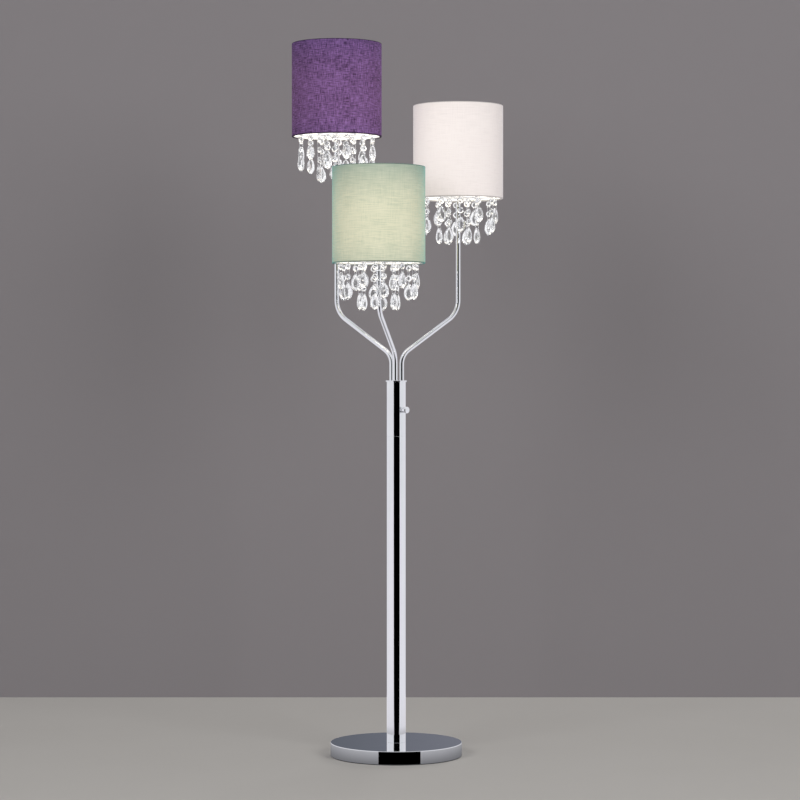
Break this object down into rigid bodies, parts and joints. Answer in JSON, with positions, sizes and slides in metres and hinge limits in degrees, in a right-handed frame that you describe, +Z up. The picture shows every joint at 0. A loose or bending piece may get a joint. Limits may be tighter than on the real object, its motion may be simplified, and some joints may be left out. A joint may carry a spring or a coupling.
{
  "type": "tree floor lamp",
  "caption": "Floor lamp: round chromed base, straight column with turning switch, bent arms, fabric drum shades, hanging crystal strands under each shade.",
  "frame": {"origin": "on the floor, on the axis of the column and base", "axes": "+Z up along the column, -Y towards the front, where the lowest shade is, +X to the right as seen from the front"},
  "size_m": [0.4704, 0.4125, 1.577],
  "materials": {
    "chrome": "polished chrome plate",
    "concrete": "grey cast concrete",
    "pad_foam": "black soft foam",
    "black_nylon": "black nylon",
    "zinc_steel": "zinc plated steel",
    "cable_sheath": "flexible insulation",
    "switch_plastic": "phenolic switch body",
    "purple_fabric": "slubbed linen weave",
    "green_fabric": "fine cross weave",
    "white_fabric": "fine plain weave",
    "white_liner": "matt white styrene",
    "white_wire": "white painted wire",
    "holder_plastic": "white moulded plastic",
    "bulb_glass": "opal glass",
    "crystal": "clear cut crystal"
  },
  "bodies": {
    "lamp": {"arm_lock_nuts": "zinc_steel", "base_cover": "chrome", "base_pad": "pad_foam", "base_weight": "concrete", "bulbs": "bulb_glass", "column_coupler": "zinc_steel", "column_foot": "zinc_steel", "column_head": "chrome", "column_lower": "chrome", "cord_bushing": "black_nylon", "crystal_carriers": "chrome", "front_arm": "chrome", "front_shade_fabric": "green_fabric", "front_shade_frame": "white_wire", "front_shade_liner": "white_liner", "inner_wiring": "cable_sheath", "lampholders": "holder_plastic", "left_arm": "chrome", "left_shade_fabric": "purple_fabric", "left_shade_frame": "white_wire", "left_shade_liner": "white_liner", "right_arm": "chrome", "right_shade_fabric": "white_fabric", "right_shade_frame": "white_wire", "right_shade_liner": "white_liner", "shade_clamp_rings": "holder_plastic", "socket_cups": "chrome", "switch_body": "switch_plastic", "switch_ring_nut": "chrome", "tie_rod": "zinc_steel", "tie_rod_nuts": "zinc_steel", "top_cap": "chrome"},
    "front_inner_strands_1": {"front_inner_strands_1": "crystal"},
    "front_inner_strands_2": {"front_inner_strands_2": "crystal"},
    "front_inner_strands_3": {"front_inner_strands_3": "crystal"},
    "front_outer_strands_1": {"front_outer_strands_1": "crystal"},
    "front_outer_strands_2": {"front_outer_strands_2": "crystal"},
    "front_outer_strands_3": {"front_outer_strands_3": "crystal"},
    "front_outer_strands_4": {"front_outer_strands_4": "crystal"},
    "front_outer_strands_5": {"front_outer_strands_5": "crystal"},
    "front_outer_strands_6": {"front_outer_strands_6": "crystal"},
    "left_inner_strands_1": {"left_inner_strands_1": "crystal"},
    "left_inner_strands_2": {"left_inner_strands_2": "crystal"},
    "left_inner_strands_3": {"left_inner_strands_3": "crystal"},
    "left_outer_strands_1": {"left_outer_strands_1": "crystal"},
    "left_outer_strands_2": {"left_outer_strands_2": "crystal"},
    "left_outer_strands_3": {"left_outer_strands_3": "crystal"},
    "left_outer_strands_4": {"left_outer_strands_4": "crystal"},
    "left_outer_strands_5": {"left_outer_strands_5": "crystal"},
    "left_outer_strands_6": {"left_outer_strands_6": "crystal"},
    "right_inner_strands_1": {"right_inner_strands_1": "crystal"},
    "right_inner_strands_2": {"right_inner_strands_2": "crystal"},
    "right_inner_strands_3": {"right_inner_strands_3": "crystal"},
    "right_outer_strands_1": {"right_outer_strands_1": "crystal"},
    "right_outer_strands_2": {"right_outer_strands_2": "crystal"},
    "right_outer_strands_3": {"right_outer_strands_3": "crystal"},
    "right_outer_strands_4": {"right_outer_strands_4": "crystal"},
    "right_outer_strands_5": {"right_outer_strands_5": "crystal"},
    "right_outer_strands_6": {"right_outer_strands_6": "crystal"},
    "knob": {"switch_knob": "chrome"}
  },
  "joints": [
    {"name": "switch_turn", "type": "hinge", "parent": "lamp", "child": "knob", "pos_m": [0.0135, -0.01609, 0.763], "axis": [0.6428, -0.766, 0], "continuous": true},
    {"name": "front_inner_strands_1_swing", "type": "hinge", "parent": "lamp", "child": "front_inner_strands_1", "pos_m": [-0.02491, -0.17877, 1.086], "axis": [-0.9397, -0.342, 0], "range_deg": [-5, 5]},
    {"name": "front_inner_strands_2_swing", "type": "hinge", "parent": "lamp", "child": "front_inner_strands_2", "pos_m": [-0.01397, -0.11673, 1.086], "axis": [0.766, -0.6428, 0], "range_deg": [-5, 5]},
    {"name": "front_inner_strands_3_swing", "type": "hinge", "parent": "lamp", "child": "front_inner_strands_3", "pos_m": [-0.07317, -0.13827, 1.086], "axis": [0.1736, 0.9848, 0], "range_deg": [-5, 5]},
    {"name": "front_outer_strands_1_swing", "type": "hinge", "parent": "lamp", "child": "front_outer_strands_1", "pos_m": [-0.0064, -0.2175, 1.086], "axis": [-0.9205, -0.3907, 0], "range_deg": [-5, 25]},
    {"name": "front_outer_strands_2_swing", "type": "hinge", "parent": "lamp", "child": "front_outer_strands_2", "pos_m": [0.04127, -0.15424, 1.086], "axis": [-0.1219, -0.9925, 0], "range_deg": [-5, 25]},
    {"name": "front_outer_strands_3_swing", "type": "hinge", "parent": "lamp", "child": "front_outer_strands_3", "pos_m": [0.01032, -0.08133, 1.086], "axis": [0.7986, -0.6018, 0], "range_deg": [-5, 25]},
    {"name": "front_outer_strands_4_swing", "type": "hinge", "parent": "lamp", "child": "front_outer_strands_4", "pos_m": [-0.06829, -0.07168, 1.086], "axis": [0.9205, 0.3907, 0], "range_deg": [-5, 25]},
    {"name": "front_outer_strands_5_swing", "type": "hinge", "parent": "lamp", "child": "front_outer_strands_5", "pos_m": [-0.11596, -0.13494, 1.086], "axis": [0.1219, 0.9925, 0], "range_deg": [-5, 25]},
    {"name": "front_outer_strands_6_swing", "type": "hinge", "parent": "lamp", "child": "front_outer_strands_6", "pos_m": [-0.08501, -0.20785, 1.086], "axis": [-0.7986, 0.6018, 0], "range_deg": [-5, 25]},
    {"name": "left_inner_strands_1_swing", "type": "hinge", "parent": "lamp", "child": "left_inner_strands_1", "pos_m": [-0.11734, 0.03499, 1.377], "axis": [-0.9063, -0.4226, 0], "range_deg": [-5, 5]},
    {"name": "left_inner_strands_2_swing", "type": "hinge", "parent": "lamp", "child": "left_inner_strands_2", "pos_m": [-0.11185, 0.09775, 1.377], "axis": [0.8192, -0.5736, 0], "range_deg": [-5, 5]},
    {"name": "left_inner_strands_3_swing", "type": "hinge", "parent": "lamp", "child": "left_inner_strands_3", "pos_m": [-0.16895, 0.07113, 1.377], "axis": [0.0872, 0.9962, 0], "range_deg": [-5, 5]},
    {"name": "left_outer_strands_1_swing", "type": "hinge", "parent": "lamp", "child": "left_outer_strands_1", "pos_m": [-0.12995, -0.0112, 1.377], "axis": [-0.9994, -0.0349, 0], "range_deg": [-5, 25]},
    {"name": "left_outer_strands_2_swing", "type": "hinge", "parent": "lamp", "child": "left_outer_strands_2", "pos_m": [-0.06278, 0.03077, 1.377], "axis": [-0.4695, -0.8829, 0], "range_deg": [-5, 25]},
    {"name": "left_outer_strands_3_swing", "type": "hinge", "parent": "lamp", "child": "left_outer_strands_3", "pos_m": [-0.06554, 0.10993, 1.377], "axis": [0.5299, -0.848, 0], "range_deg": [-5, 25]},
    {"name": "left_outer_strands_4_swing", "type": "hinge", "parent": "lamp", "child": "left_outer_strands_4", "pos_m": [-0.13548, 0.14711, 1.377], "axis": [0.9994, 0.0349, 0], "range_deg": [-5, 25]},
    {"name": "left_outer_strands_5_swing", "type": "hinge", "parent": "lamp", "child": "left_outer_strands_5", "pos_m": [-0.20264, 0.10514, 1.377], "axis": [0.4695, 0.8829, 0], "range_deg": [-5, 25]},
    {"name": "left_outer_strands_6_swing", "type": "hinge", "parent": "lamp", "child": "left_outer_strands_6", "pos_m": [-0.19988, 0.02598, 1.377], "axis": [-0.5299, 0.848, 0], "range_deg": [-5, 25]},
    {"name": "right_inner_strands_1_swing", "type": "hinge", "parent": "lamp", "child": "right_inner_strands_1", "pos_m": [0.1695, 0.04032, 1.238], "axis": [-0.4848, -0.8746, 0], "range_deg": [-5, 5]},
    {"name": "right_inner_strands_2_swing", "type": "hinge", "parent": "lamp", "child": "right_inner_strands_2", "pos_m": [0.13706, 0.09433, 1.238], "axis": [0.9998, 0.0175, 0], "range_deg": [-5, 5]},
    {"name": "right_inner_strands_3_swing", "type": "hinge", "parent": "lamp", "child": "right_inner_strands_3", "pos_m": [0.10651, 0.03922, 1.238], "axis": [-0.515, 0.8572, 0], "range_deg": [-5, 5]},
    {"name": "right_outer_strands_1_swing", "type": "hinge", "parent": "lamp", "child": "right_outer_strands_1", "pos_m": [0.16085, -0.01779, 1.238], "axis": [-0.9563, -0.2924, 0], "range_deg": [-5, 25]},
    {"name": "right_outer_strands_2_swing", "type": "hinge", "parent": "lamp", "child": "right_outer_strands_2", "pos_m": [0.21487, 0.04014, 1.238], "axis": [-0.225, -0.9744, 0], "range_deg": [-5, 25]},
    {"name": "right_outer_strands_3_swing", "type": "hinge", "parent": "lamp", "child": "right_outer_strands_3", "pos_m": [0.19171, 0.11589, 1.238], "axis": [0.7314, -0.682, 0], "range_deg": [-5, 25]},
    {"name": "right_outer_strands_4_swing", "type": "hinge", "parent": "lamp", "child": "right_outer_strands_4", "pos_m": [0.11453, 0.1337, 1.238], "axis": [0.9563, 0.2924, 0], "range_deg": [-5, 25]},
    {"name": "right_outer_strands_5_swing", "type": "hinge", "parent": "lamp", "child": "right_outer_strands_5", "pos_m": [0.06052, 0.07577, 1.238], "axis": [0.225, 0.9744, 0], "range_deg": [-5, 25]},
    {"name": "right_outer_strands_6_swing", "type": "hinge", "parent": "lamp", "child": "right_outer_strands_6", "pos_m": [0.08367, 0.00003, 1.238], "axis": [-0.7314, 0.682, 0], "range_deg": [-5, 25]}
  ]
}
